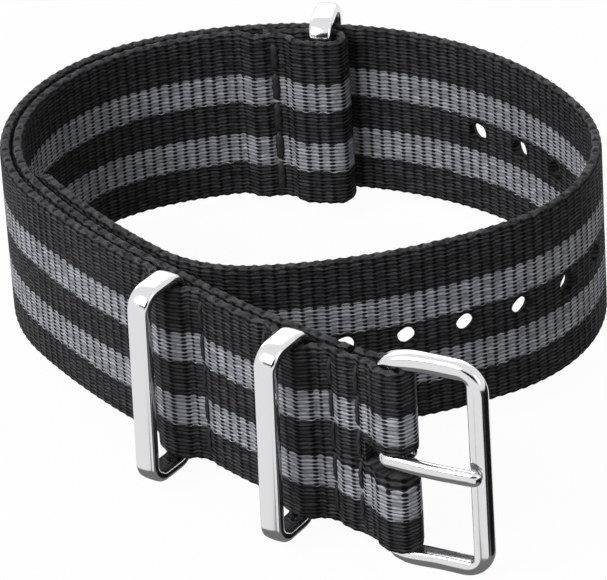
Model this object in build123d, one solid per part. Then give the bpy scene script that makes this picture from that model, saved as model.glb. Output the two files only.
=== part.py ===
from build123d import *
import math
import os

# A slip-through watch strap of woven nylon tape, closed into its loop. One long band folds round the
# buckle bar, runs once round the loop and tucks its punched tail inside. A short band is stitched
# behind it and holds a ring at its far end. Two more rings sit in stitched tunnels of the front run.

# Webbing tape
band_width = 20.0
band_thickness = 1.2
selvedge_chamfer = 0.4  # of the tape's edges
layer_gap = 0.1  # between two layers that lie on each other
band_length = 252.0  # long band, from the buckle bar to the tip of the tail
crease_radius = 2.0  # where the tape steps up over a bar and down again

# Loop seen from above, measured to the middle of the outermost layer
left_bend_radius = 22.5
right_bend_radius = 19.6
back_arc_radius = 36.5
tail_arc_radius = 51.3
knee_radius = 13.9  # where the tail comes to lie on the front run
front_sweep_radius = 89.0
bend_spacing = 21.4  # between the centres of the two bends
bend_line_angle = -19.7
front_heading = 130.5  # of the front run, from the buckle towards the left bend
front_sweep_angle = 12.85

# Front run, from the buckle bar to the left bend
fold_run = 4.9  # straight part that holds the folded end
hinge_radius = 8.3
hinge_angle = 6.2
front_tunnel_run = 11.0
spread_radius = 40.0
spread_angle = 6.15
middle_tunnel_run = 13.7
front_keeper_place = 11.5  # along the run from the buckle bar to each captive bar
middle_keeper_place = 29.3
tunnel_half_length = 4.3  # from a captive bar to the seam on each side
seam_margin = 0.5  # flat tape beside a seam

# Tail holes
hole_diameter = 1.8
hole_pitch = 6.4
hole_count = 14
first_hole_place = 29.2  # from the tip

# Band rings: two keepers and the end ring, all alike
ring_depth = 7.2
ring_corner_radius = 2.4
ring_side_clearance = 0.3  # inside a ring, above and below the tape
ring_wall = 1.2
ring_width = 2.5
ring_edge_chamfer = 0.35
tunnel_clearance = 0.3
front_keeper_tilt = 8.0
middle_keeper_tilt = 12.0
end_ring_tilt = 0.0
end_ring_rest_clearance = 0.15  # below the tape, where the end ring sits up

# Fold of the short band round the end ring, along the back arc from the left bend
end_seam_place = 14.2
end_tunnel_length = 6.6  # from the seam to the middle of the fold
end_bar_setback = 1.0  # from the middle of the fold back to the ring's captive bar
fold_back_reach = 1.2  # folded end beyond its seam

# Buckle frame
frame_reach = 10.2  # from the bar's axis to the far edge
frame_heel = 1.2  # from the bar's axis back to the ends of the arms
frame_thickness = 1.7
far_bar_width = 2.0
arm_width = 1.85
band_side_clearance = 0.55
buckle_rest_clearance = 0.1  # above the tape, where the buckle hangs down
far_corner_radius = 3.2
heel_corner_radius = 1.2
window_corner_radius = 0.5
frame_edge_chamfer = 0.35
buckle_tilt = 8.0

# Tongue
tongue_width = 1.6
tongue_thickness = 1.2
tongue_edge_chamfer = 0.35
tongue_setback = 0.3  # of its tip from the far edge of the frame
tongue_curl_angle = 240.0
tongue_bore_clearance = 0.05
notch_clearance = 0.15
slot_overlap = 1.0  # of the slot in the tape beyond the outside of the fold
slot_clearance = 0.3

# Sprung bar that carries the buckle
bar_diameter = 1.5
bar_bore_diameter = 1.1
bar_end_clearance = 0.25
bar_fold_clearance = 0.25
bar_fold_flat = 0.3  # straight tape beside the bar before it creases in
lip_length = 0.3
lip_bore_diameter = 0.9
plunger_body_diameter = 1.0
plunger_body_length = 1.6
plunger_tip_diameter = 0.8
plunger_engagement = 1.1  # of a tip in its arm
arm_hole_diameter = 0.9
arm_hole_spare = 0.15
spring_diameter = 0.9
spring_wire = 0.2
spring_turns = 8
spring_end_gap = 0.05

# Seam thread
thread_width = 0.9
thread_height = 0.3
thread_chamfer = 0.15
stitch_length = 3.3
stitch_gap = 0.4
stitch_edge = 0.4  # least bare tape beyond a row
thread_lift = 0.01

cut_overrun = 1.0

# Worked out from the sizes above
pitch = band_thickness + layer_gap
inner_layer = -pitch  # second layer, counted inwards from the outermost
tail_layer = -2 * pitch - thread_height  # the tail lies over the seams of the two layers
ring_bar_spacing = ring_depth - ring_wall
captive_bar_offset = inner_layer + band_thickness / 2 + tunnel_clearance + ring_wall / 2
tunnel_rise = captive_bar_offset + ring_wall / 2 + tunnel_clearance + band_thickness / 2
end_fold_radius = ring_wall / 2 + tunnel_clearance + band_thickness / 2
bar_fold_radius = bar_diameter / 2 + bar_fold_clearance + band_thickness / 2
bar_fold_rise = bar_fold_radius - pitch / 2
bar_offset = inner_layer / 2
window_height = band_width + 2 * band_side_clearance
frame_height = window_height + 2 * arm_width
bar_length = window_height - 2 * bar_end_clearance
tongue_offset = bar_diameter / 2 + tongue_bore_clearance + tongue_thickness / 2
tongue_reach = frame_reach - tongue_setback
slot_reach = bar_fold_radius + band_thickness / 2 + slot_overlap
tip_radius = band_width / 2
ring_height = band_width + 2 * (ring_side_clearance + ring_wall)
end_ring_lift = ring_side_clearance - end_ring_rest_clearance
buckle_drop = band_side_clearance - buckle_rest_clearance
stitch_pitch = stitch_length + stitch_gap
stitch_count = math.floor((band_width - 2 * stitch_edge + stitch_gap) / stitch_pitch)


class Run:
    """A run of tape seen from above, walked with the outside of the loop on its left."""

    def __init__(self, start):
        self.start = start
        self.steps = []

    def straight(self, length):
        self.steps.append((length, None, 0.0))

    def turn(self, radius, angle):
        """Bends the run clockwise, or the other way for a negative angle."""
        self.steps.append((radius * math.radians(abs(angle)), radius, angle))

    def step_aside(self, rise):
        """Moves the run over to its left by rise, or to its right for a negative one."""
        angle = math.copysign(crease_angle(abs(rise)), rise)
        self.turn(crease_radius, -angle)
        self.turn(crease_radius, angle)

    def length(self):
        return sum(step[0] for step in self.steps)

    def at(self, distance):
        """The place at a distance along the run, with X along it and Y to its left."""
        place = self.start
        for step in self.steps:
            if distance <= step[0]:
                return place * walked(step, distance / step[0])
            distance -= step[0]
            place = place * walked(step)
        return place * Pos(distance, 0, 0)

    def wire(self):
        place = self.start
        edges = []
        for step in self.steps:
            length, radius, angle = step
            if radius is None:
                edge = Line((0, 0), (length, 0))
            else:
                edge = JernArc((0, 0), (1, 0), radius, -angle)
            edges.append(place * edge)
            place = place * walked(step)
        return Wire(edges)

    def tape(self):
        """The tape itself, with its softened selvedges."""
        outline = Rectangle(band_width, band_thickness)
        outline = chamfer(outline.vertices(), selvedge_chamfer)
        section = Plane(self.start * Rot(0, -90, 0)) * outline
        return sweep(section, path=self.wire())


def walked(step, share=1.0):
    """Where one step of a run leads, or a share of it."""
    length, radius, angle = step
    if radius is None:
        return Pos(length * share, 0, 0)
    side = -math.copysign(radius, angle)
    return Pos(0, side, 0) * Rot(0, 0, -angle * share) * Pos(0, -side, 0)


def crease_angle(rise):
    return math.degrees(math.acos(1 - rise / (2 * crease_radius)))


def crease_length(rise):
    return 2 * crease_radius * math.sin(math.radians(crease_angle(rise)))


def centre_round(first, first_radius, second, second_radius, radius):
    """Centre of the arc round two bends inside it, to the left of the line from first to second."""
    first_reach = radius - first_radius
    second_reach = radius - second_radius
    across = second - first
    apart = across.length
    along = (first_reach**2 - second_reach**2 + apart**2) / (2 * apart)
    aside = math.sqrt(first_reach**2 - along**2)
    ahead = across.normalized()
    return first + ahead * along + Vector(-ahead.Y, ahead.X) * aside


def heading_over(arc_centre, bend_centre):
    """Heading of a clockwise run where an arc and a bend inside it touch."""
    out = bend_centre - arc_centre
    return math.degrees(math.atan2(out.Y, out.X)) - 90


def angle_between(before, after):
    return (before - after) % 360


def corner_angle(beside, other, opposite):
    """Angle of a triangle between two of its sides, opposite the third."""
    return math.degrees(math.acos((beside**2 + other**2 - opposite**2) / (2 * beside * other)))


def eased_angle(arc_radius, depth):
    """Angle about its centre that a run needs to ease from a circle to a smaller one."""
    outer = arc_radius - crease_radius
    inner = arc_radius - depth + crease_radius
    return corner_angle(outer, inner, 2 * crease_radius)


def ease_in(run, arc_radius, depth):
    """Takes a run from a circle to a smaller one about the same centre."""
    outer = arc_radius - crease_radius
    inner = arc_radius - depth + crease_radius
    at_outer = corner_angle(outer, 2 * crease_radius, inner)
    run.turn(crease_radius, 180 - at_outer)
    run.turn(crease_radius, -(180 - eased_angle(arc_radius, depth) - at_outer))


# Loop geometry, about the centre of the left bend
bend_heading = front_heading - front_sweep_angle
left_centre = Vector(0, 0)
right_centre = Vector(bend_spacing, 0).rotate(Axis.Z, bend_line_angle)
bend_start = Rot(0, 0, bend_heading) * Pos(0, left_bend_radius, 0)
sweep_start = bend_start * walked((0, front_sweep_radius, front_sweep_angle)).inverse()
knee_centre = (sweep_start * Pos(0, tail_layer - knee_radius, 0)).position
back_centre = centre_round(
    right_centre, right_bend_radius, left_centre, left_bend_radius, back_arc_radius
)
tail_centre = centre_round(
    knee_centre, knee_radius, right_centre, right_bend_radius, tail_arc_radius
)
back_heading = heading_over(back_centre, left_centre)
right_heading = heading_over(back_centre, right_centre)
tail_heading = heading_over(tail_centre, right_centre)
knee_heading = heading_over(tail_centre, knee_centre)
left_bend_angle = angle_between(bend_heading, back_heading)
back_arc_angle = angle_between(back_heading, right_heading)


def front_run(start, layer):
    """The straight and gently bent stretches of the front, as one layer follows them."""
    run = Run(start)
    run.straight(fold_run)
    run.turn(hinge_radius + layer, hinge_angle)
    run.straight(front_tunnel_run)
    run.turn(spread_radius + layer, spread_angle)
    run.straight(middle_tunnel_run)
    run.turn(front_sweep_radius + layer, front_sweep_angle)
    return run


def front_start():
    run = front_run(Location(), 0)
    return bend_start * run.at(run.length()).inverse()


# The line that places on the front run are measured along
front_line = front_run(front_start(), 0)
hinge_end = fold_run + hinge_radius * math.radians(hinge_angle)
spread_start = hinge_end + front_tunnel_run
spread_end = spread_start + spread_radius * math.radians(spread_angle)
front_line_end = spread_end + middle_tunnel_run


def add_tunnel(run, start, bar_place, end):
    """Straight tape that steps up over a captive bar and down again."""
    rise_length = crease_length(tunnel_rise)
    half = tunnel_half_length - seam_margin
    run.straight(bar_place - half - start)
    run.step_aside(tunnel_rise)
    run.straight(2 * (half - rise_length))
    run.step_aside(-tunnel_rise)
    run.straight(end - bar_place - half)


def long_band_run():
    """The long band from the cut end of its buckle fold to the tip of its tail."""
    run = Run(front_line.at(fold_run) * Pos(0, inner_layer, 0) * Rot(0, 0, 180))
    crease = crease_length(bar_fold_rise)
    run.straight(fold_run - crease - bar_fold_flat)
    run.step_aside(bar_fold_rise)
    run.straight(bar_fold_flat)
    fold_length = run.length()
    run.turn(bar_fold_radius, 180)
    run.straight(bar_fold_flat)
    run.step_aside(-bar_fold_rise)
    run.straight(fold_run - crease - bar_fold_flat)
    run.turn(hinge_radius, hinge_angle)
    add_tunnel(run, hinge_end, front_keeper_place, spread_start)
    run.turn(spread_radius, spread_angle)
    add_tunnel(run, spread_end, middle_keeper_place, front_line_end)
    run.turn(front_sweep_radius, front_sweep_angle)
    run.turn(left_bend_radius, left_bend_angle)
    run.turn(back_arc_radius, back_arc_angle)
    run.turn(right_bend_radius, angle_between(right_heading, tail_heading))
    run.turn(tail_arc_radius, angle_between(tail_heading, knee_heading))
    run.turn(knee_radius, angle_between(knee_heading, front_heading))
    run.turn(front_sweep_radius + tail_layer, front_sweep_angle)
    left = band_length + fold_length - run.length()
    end_radius = left_bend_radius + tail_layer
    run.turn(end_radius, math.degrees(left / end_radius))
    return run


def tip_trimmings(place):
    """What is trimmed off the square end of the tail to round it about the given place."""
    end = Run(place)
    end_radius = left_bend_radius + tail_layer
    end.turn(end_radius, math.degrees((tip_radius + cut_overrun) / end_radius))
    section = Plane(place * Rot(0, -90, 0)) * Rectangle(band_width + cut_overrun, pitch)
    rounding = place * Rot(90, 0, 0) * Cylinder(tip_radius, 2 * tip_radius)
    return sweep(section, path=end.wire()) - rounding


def long_band():
    run = long_band_run()
    band = run.tape()
    length = run.length()
    band -= tip_trimmings(run.at(length - tip_radius))
    for number in range(hole_count):
        place = run.at(length - first_hole_place - number * hole_pitch)
        reach = band_thickness + cut_overrun
        band -= place * Rot(90, 0, 0) * Cylinder(hole_diameter / 2, reach)
    slot_height = tongue_width + 2 * slot_clearance
    band -= bar_place() * Cylinder(slot_reach, slot_height)
    return band


def along_back(distance):
    """Angle about the back arc's centre for a distance along the outermost layer."""
    return math.degrees(distance / back_arc_radius)


def short_band_run():
    """The short band from its stitched end at the front to the cut end of its fold."""
    run = Run(front_line.at(hinge_end) * Pos(0, inner_layer, 0))
    run.straight(front_tunnel_run)
    run.turn(spread_radius + inner_layer, spread_angle)
    run.straight(middle_tunnel_run)
    run.turn(front_sweep_radius + inner_layer, front_sweep_angle)
    run.turn(left_bend_radius + inner_layer, left_bend_angle)
    lying = back_arc_radius + inner_layer
    folded = along_back(end_seam_place + end_tunnel_length)
    cut = along_back(end_seam_place - fold_back_reach)
    eased_in = cut - along_back(seam_margin)
    seam_flat = along_back(fold_back_reach + 2 * seam_margin)
    # steps in to leave room for its own folded end, then in again round the ring's bar
    run.turn(lying, eased_in - eased_angle(lying, pitch))
    ease_in(run, lying, pitch)
    run.turn(lying - pitch, seam_flat)
    inner_depth = 2 * end_fold_radius - pitch
    ease_in(run, lying - pitch, inner_depth)
    left = folded - eased_in - seam_flat - eased_angle(lying - pitch, inner_depth)
    run.turn(lying - 2 * end_fold_radius, left)
    run.turn(end_fold_radius, -180)
    run.turn(lying, -(folded - cut))
    return run


def back_place(distance, offset):
    """A place on the back arc, with X along it and Y outwards from the outermost layer."""
    start = bend_start * walked((0, left_bend_radius, left_bend_angle))
    return start * walked((0, back_arc_radius, along_back(distance))) * Pos(0, offset, 0)


def band_ring():
    """A ring about its captive bar, with its other bar towards +Y."""
    upright = Plane(origin=(0, ring_bar_spacing / 2, 0), x_dir=(0, 0, 1), z_dir=(1, 0, 0))
    outline = RectangleRounded(ring_height, ring_depth, ring_corner_radius)
    window = offset(outline, -ring_wall)
    ring = extrude(upright * (outline - window), amount=ring_width / 2, both=True)
    return chamfer(ring.edges() - ring.edges().filter_by(Axis.X), ring_edge_chamfer)


def keeper_place(distance):
    return front_line.at(distance) * Pos(0, captive_bar_offset, 0)


def end_ring_place():
    distance = end_seam_place + end_tunnel_length - end_bar_setback
    return back_place(distance, inner_layer - end_fold_radius) * Pos(0, 0, end_ring_lift)


def bar_place():
    """The buckle bar's axis, with X away from the band and Y towards the inside of the loop."""
    return front_line.at(0) * Pos(0, bar_offset, -buckle_drop) * Rot(0, 0, 180)


def buckle_place():
    return bar_place() * Rot(0, 0, buckle_tilt)


def buckle_frame():
    """Two arms and a far bar, open at the heel where the sprung bar closes it."""
    upright = Plane.XZ
    length = frame_reach + frame_heel
    middle = frame_reach - length / 2
    outline = Pos(middle, 0) * Rectangle(length, frame_height)
    far_corners = outline.vertices().group_by(Axis.X)[-1]
    outline = fillet(far_corners, far_corner_radius)
    heel_corners = outline.vertices().group_by(Axis.X)[0]
    outline = fillet(heel_corners, heel_corner_radius)
    window_length = length - far_bar_width + cut_overrun
    window = Pos(frame_reach - far_bar_width - window_length / 2, 0) * Rectangle(
        window_length, window_height
    )
    window = fillet(window.vertices().group_by(Axis.X)[-1], window_corner_radius)
    frame = extrude(upright * (outline - window), amount=frame_thickness / 2, both=True)
    frame = chamfer(frame.edges() - frame.edges().filter_by(Axis.Y), frame_edge_chamfer)
    for side in (-1, 1):
        depth = plunger_engagement + arm_hole_spare
        hole = Cylinder(arm_hole_diameter / 2, depth)
        frame -= Pos(0, 0, side * (window_height / 2 + depth / 2)) * hole
    # shallow seat for the tongue on the outer face of the far bar
    seat_depth = frame_thickness / 2 - (tongue_offset - tongue_thickness / 2) + notch_clearance
    seat_width = tongue_width + 2 * notch_clearance
    seat = Box(far_bar_width + cut_overrun, 2 * seat_depth, seat_width)
    frame -= Pos(frame_reach - far_bar_width / 2, -frame_thickness / 2, 0) * seat
    return frame


def buckle_tongue():
    """A flattened rod curled round the bar and laid over the far bar."""
    turned = math.radians(270 - tongue_curl_angle)
    start = (tongue_offset * math.cos(turned), tongue_offset * math.sin(turned))
    heading = (-math.sin(turned), math.cos(turned))
    curl = JernArc(start, heading, tongue_offset, tongue_curl_angle)
    rod = Line(curl @ 1, curl @ 1 + Vector(tongue_reach, 0))
    section_plane = Plane(origin=curl @ 0, x_dir=(0, 0, 1), z_dir=curl % 0)
    section = Rectangle(tongue_width, tongue_thickness)
    section = chamfer(section.vertices(), tongue_edge_chamfer)
    return sweep(section_plane * section, path=Wire([curl, rod]))


def bar_tube():
    """A tube with its ends drawn in, so that the plungers can't leave it."""
    bore_length = bar_length - 2 * lip_length
    tube = Cylinder(bar_diameter / 2, bar_length)
    tube -= Cylinder(bar_bore_diameter / 2, bore_length)
    tube -= Cylinder(lip_bore_diameter / 2, bar_length + cut_overrun)
    return tube


def plunger():
    """A shouldered pin pointing up, with the foot of its tip at the inner side of the tube's lip."""
    tip_length = lip_length + bar_end_clearance + plunger_engagement
    body = Pos(0, 0, -plunger_body_length / 2) * Cylinder(
        plunger_body_diameter / 2, plunger_body_length
    )
    tip = Pos(0, 0, tip_length / 2) * Cylinder(plunger_tip_diameter / 2, tip_length)
    return Pos(0, 0, bar_length / 2 - lip_length - spring_end_gap) * (body + tip)


def bar_spring():
    """The coil that pushes the two plungers apart."""
    room = bar_length - 2 * (lip_length + spring_end_gap + plunger_body_length)
    height = room - 2 * spring_end_gap - spring_wire
    radius = (spring_diameter - spring_wire) / 2
    coil = Pos(0, 0, -height / 2) * Helix(height / spring_turns, height, radius)
    section_plane = Plane(origin=coil @ 0, z_dir=coil % 0)
    return sweep(section_plane * RegularPolygon(spring_wire / 2, 4), path=coil, is_frenet=True)


def stitch():
    """One stitch lying on a face whose outside is +Y."""
    thread = Pos(0, thread_height / 2, 0) * Box(thread_width, thread_height, stitch_length)
    proud = thread.faces().sort_by(Axis.Y)[-1]
    return chamfer(proud.edges(), thread_chamfer)


def stitch_row(place):
    """A row of stitches across the tape, standing out towards the place's +Y."""
    first = -(stitch_count - 1) / 2 * stitch_pitch
    seat = place * Pos(0, thread_lift, 0)
    return [seat * Pos(0, 0, first + number * stitch_pitch) * stitch() for number in range(stitch_count)]


def front_seam(distance):
    """A seam through the long band and the layer behind it, with a row on each outer face."""
    place = front_line.at(distance)
    outside = stitch_row(place * Pos(0, band_thickness / 2, 0))
    back = place * Pos(0, inner_layer - band_thickness / 2, 0) * Rot(0, 0, 180)
    return Compound(outside + stitch_row(back))


def end_seam():
    """The seam of the short band's fold, with the row that lies inside the loop."""
    face = back_place(end_seam_place, tail_layer - band_thickness / 2)
    return Compound(stitch_row(face * Rot(0, 0, 180)))


buckle_fold_seam_place = fold_run - fold_back_reach + seam_margin / 2

parts = {
    "main_band": long_band(),
    "short_band": short_band_run().tape(),
    "buckle_frame": buckle_place() * buckle_frame(),
    "buckle_tongue": buckle_place() * buckle_tongue(),
    "bar_tube": buckle_place() * bar_tube(),
    "bar_upper_plunger": buckle_place() * plunger(),
    "bar_lower_plunger": buckle_place() * Rot(180, 0, 0) * plunger(),
    "bar_spring": buckle_place() * bar_spring(),
    "front_keeper": keeper_place(front_keeper_place) * Rot(0, 0, front_keeper_tilt) * band_ring(),
    "middle_keeper": keeper_place(middle_keeper_place) * Rot(0, 0, middle_keeper_tilt) * band_ring(),
    "end_ring": end_ring_place() * Rot(0, 0, end_ring_tilt) * band_ring(),
    "buckle_fold_seam": front_seam(buckle_fold_seam_place),
    "front_keeper_right_seam": front_seam(front_keeper_place - tunnel_half_length),
    "front_keeper_left_seam": front_seam(front_keeper_place + tunnel_half_length),
    "middle_keeper_right_seam": front_seam(middle_keeper_place - tunnel_half_length),
    "middle_keeper_left_seam": front_seam(middle_keeper_place + tunnel_half_length),
    "end_ring_seam": end_seam(),
}

# The origin is below the middle of the whole strap, at the level that its metal stands on
whole = Compound(list(parts.values())).bounding_box()
middle = whole.center()
stand = Pos(-middle.X, -middle.Y, -whole.min.Z)

os.makedirs("parts", exist_ok=True)
for name, part in parts.items():
    export_step(stand * part, f"parts/{name}.step")
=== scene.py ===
import math

import bmesh
import bpy
from mathutils import Matrix, Vector

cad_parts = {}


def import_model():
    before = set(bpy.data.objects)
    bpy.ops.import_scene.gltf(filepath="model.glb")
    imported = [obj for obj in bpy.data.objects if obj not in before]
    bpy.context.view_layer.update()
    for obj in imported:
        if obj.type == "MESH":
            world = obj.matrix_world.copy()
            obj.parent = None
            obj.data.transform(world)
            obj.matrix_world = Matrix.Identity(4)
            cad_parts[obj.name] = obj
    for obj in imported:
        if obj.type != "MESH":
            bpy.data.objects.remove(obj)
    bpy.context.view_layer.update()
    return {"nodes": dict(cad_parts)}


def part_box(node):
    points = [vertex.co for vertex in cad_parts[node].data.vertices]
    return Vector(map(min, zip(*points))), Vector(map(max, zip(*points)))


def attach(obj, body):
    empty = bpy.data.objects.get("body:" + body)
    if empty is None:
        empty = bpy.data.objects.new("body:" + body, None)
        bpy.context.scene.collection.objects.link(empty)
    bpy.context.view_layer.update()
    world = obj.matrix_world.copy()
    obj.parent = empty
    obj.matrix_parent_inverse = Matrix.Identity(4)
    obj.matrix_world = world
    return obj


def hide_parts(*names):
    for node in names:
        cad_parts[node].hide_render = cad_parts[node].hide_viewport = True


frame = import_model()
mm = 0.001
print("frame loaded")

# the tape and the loop it lies in, in millimetres, as in the real strap
tape = {
    "width": 20.0, "thickness": 1.2, "layerGap": 0.1, "length": 252.0, "creaseRadius": 2.0,
    "leftBendRadius": 22.5, "rightBendRadius": 19.6, "backArcRadius": 36.5,
    "tailArcRadius": 51.3, "kneeRadius": 13.9, "sweepRadius": 89.0, "sweepAngle": 12.85,
    "bendSpacing": 21.4, "bendLineAngle": -19.7, "frontHeading": 130.5,
}
front = {
    "foldRun": 4.9, "hingeRadius": 8.3, "hingeAngle": 6.2, "frontTunnelRun": 11.0,
    "spreadRadius": 40.0, "spreadAngle": 6.15, "middleTunnelRun": 13.7, "frontKeeper": 11.5,
    "middleKeeper": 29.3, "tunnelHalf": 4.3, "seamMargin": 0.5,
}
backFold = {
    "seam": 14.2, "tunnel": 6.6, "barSetback": 1.0, "reach": 1.2, "press": 0.15,
    "pressReach": 6.0,
}
ring = {
    "depth": 7.2, "cornerRadius": 2.4, "sideClearance": 0.3, "wall": 1.2, "width": 2.5,
    "clearance": 0.3, "edge": 0.46, "dome": 0.05, "across": 4, "edgeSteps": 4, "endLift": 0.15,
    "lean": -1.5, "frontTilt": 8.0, "middleTilt": 12.0, "endTilt": 0.0,
}
bar = {"diameter": 1.5, "foldClearance": 0.25, "foldFlat": 0.3, "tilt": 8.0}
buckle = {
    "reach": 10.2, "heel": 1.2, "thickness": 1.7, "barWidth": 2.0, "armWidth": 1.85,
    "sideClearance": 0.55, "restClearance": 0.1, "cornerRadius": 3.4, "windowRadius": 0.55,
    "outerEdge": 0.72, "innerEdge": 0.34, "dome": 0.1, "heelTaper": 4.2, "flare": 0.5,
    "flareReach": 4.5, "armHole": 0.9, "armHoleDepth": 1.25, "scoopRadius": 1.3,
    "scoopDepth": 0.55, "scoopSetback": 0.35, "scoopRise": 0.3, "edgeSteps": 6, "domeSteps": 4,
    "flareFrom": 1.0, "outerShares": (0.48, 0.98), "innerShares": (0.3, 0.7), "heelShare": 0.2,
    "heelThinShare": 0.5, "heelSteps": 24, "cornerSteps": 16,
    "barStations": (6.0, 4.0, 2.4, 1.2),
}

pitch = tape["thickness"] + tape["layerGap"]
threadHeight = 0.3
innerLayer = -pitch
tailLayer = -2 * pitch - threadHeight
halfTape = tape["thickness"] / 2
ringBarOffset = innerLayer + halfTape + ring["clearance"] + ring["wall"] / 2
tunnelRise = ringBarOffset + ring["wall"] / 2 + ring["clearance"] + halfTape
endFoldRadius = ring["wall"] / 2 + ring["clearance"] + halfTape
barFoldRadius = bar["diameter"] / 2 + bar["foldClearance"] + halfTape
barFoldRise = barFoldRadius - pitch / 2
buckleDrop = buckle["sideClearance"] - buckle["restClearance"]


# a place is (x, y, heading in degrees), and its left is the outside of the loop
def moved(place, along, left=0.0, turned=0.0):
    x, y, heading = place
    c = math.cos(math.radians(heading))
    s = math.sin(math.radians(heading))
    return (x + c * along - s * left, y + s * along + c * left, heading + turned)


def arcMoved(place, radius, angle):
    side = -math.copysign(radius, angle)
    return moved(moved(place, 0, side, -angle), 0, -side)


class Run:  # a run of tape seen from above
    def __init__(self, start):
        self.start = start
        self.steps = []

    def straight(self, length):
        self.steps.append((length, None, 0.0))

    def turn(self, radius, angle):
        self.steps.append((radius * math.radians(abs(angle)), radius, angle))

    def stepAside(self, rise):
        angle = math.copysign(creaseAngle(abs(rise)), rise)
        self.turn(tape["creaseRadius"], -angle)
        self.turn(tape["creaseRadius"], angle)

    def length(self):
        return sum(step[0] for step in self.steps)

    def at(self, distance):
        place = self.start
        for length, radius, angle in self.steps:
            share = min(1.0, distance / length)
            if radius is None:
                after = moved(place, length * share)
            else:
                after = arcMoved(place, radius, angle * share)
            if distance <= length:
                return after
            distance -= length
            place = after
        return moved(place, distance)

    def nearest(self, place, low, high):  # the distance along the run that comes nearest to a place
        tries = 400
        spots = [low + (high - low) * i / tries for i in range(tries + 1)]
        return min(spots, key=lambda s: math.dist(self.at(s)[:2], place[:2]))


def creaseAngle(rise):
    return math.degrees(math.acos(1 - rise / (2 * tape["creaseRadius"])))


def creaseLength(rise):
    return 2 * tape["creaseRadius"] * math.sin(math.radians(creaseAngle(rise)))


def cornerAngle(beside, other, opposite):
    return math.degrees(math.acos((beside**2 + other**2 - opposite**2) / (2 * beside * other)))


def easedAngle(radius, depth):
    outer = radius - tape["creaseRadius"]
    inner = radius - depth + tape["creaseRadius"]
    return cornerAngle(outer, inner, 2 * tape["creaseRadius"])


def easeIn(run, radius, depth):
    outer = radius - tape["creaseRadius"]
    inner = radius - depth + tape["creaseRadius"]
    atOuter = cornerAngle(outer, 2 * tape["creaseRadius"], inner)
    run.turn(tape["creaseRadius"], 180 - atOuter)
    run.turn(tape["creaseRadius"], -(180 - easedAngle(radius, depth) - atOuter))


def centreRound(first, firstRadius, second, secondRadius, radius):
    apart = math.dist(first, second)
    firstReach = radius - firstRadius
    secondReach = radius - secondRadius
    along = (firstReach**2 - secondReach**2 + apart**2) / (2 * apart)
    aside = math.sqrt(firstReach**2 - along**2)
    line = (first[0], first[1], headingTo(first, second))
    return moved(line, along, aside)[:2]


def headingTo(a, b):
    return math.degrees(math.atan2(b[1] - a[1], b[0] - a[0]))


def angleBetween(before, after):
    return (before - after) % 360


leftCentre = (0.0, 0.0)
rightCentre = moved((0, 0, tape["bendLineAngle"]), tape["bendSpacing"])[:2]
bendHeading = tape["frontHeading"] - tape["sweepAngle"]
bendStart = moved((0, 0, bendHeading), 0, tape["leftBendRadius"])
sweepHub = moved(bendStart, 0, -tape["sweepRadius"], tape["sweepAngle"])
sweepStart = moved(sweepHub, 0, tape["sweepRadius"])
kneeCentre = moved(sweepStart, 0, tailLayer - tape["kneeRadius"])[:2]
backCentre = centreRound(
    rightCentre, tape["rightBendRadius"], leftCentre, tape["leftBendRadius"], tape["backArcRadius"]
)
tailCentre = centreRound(
    kneeCentre, tape["kneeRadius"], rightCentre, tape["rightBendRadius"], tape["tailArcRadius"]
)
backHeading = headingTo(backCentre, leftCentre) - 90
rightHeading = headingTo(backCentre, rightCentre) - 90
tailHeading = headingTo(tailCentre, rightCentre) - 90
kneeHeading = headingTo(tailCentre, kneeCentre) - 90
leftBendAngle = angleBetween(bendHeading, backHeading)
backArcAngle = angleBetween(backHeading, rightHeading)
hingeEnd = front["foldRun"] + front["hingeRadius"] * math.radians(front["hingeAngle"])
spreadStart = hingeEnd + front["frontTunnelRun"]
spreadEnd = spreadStart + front["spreadRadius"] * math.radians(front["spreadAngle"])
frontEnd = spreadEnd + front["middleTunnelRun"]


def frontRun(start):
    run = Run(start)
    run.straight(front["foldRun"])
    run.turn(front["hingeRadius"], front["hingeAngle"])
    run.straight(front["frontTunnelRun"])
    run.turn(front["spreadRadius"], front["spreadAngle"])
    run.straight(front["middleTunnelRun"])
    return run


# walks the front run from nowhere, then sets it where it meets the sweep
loose = frontRun((0.0, 0.0, 0.0)).at(frontEnd)
turnedBy = sweepStart[2] - loose[2]
looseEnd = moved((0, 0, turnedBy), loose[0], loose[1])
frontLine = frontRun((sweepStart[0] - looseEnd[0], sweepStart[1] - looseEnd[1], turnedBy))


def addTunnel(run, start, barPlace, end):
    half = front["tunnelHalf"] - front["seamMargin"]
    run.straight(barPlace - half - start)
    run.stepAside(tunnelRise)
    run.straight(2 * (half - creaseLength(tunnelRise)))
    run.stepAside(-tunnelRise)
    run.straight(end - barPlace - half)


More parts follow.
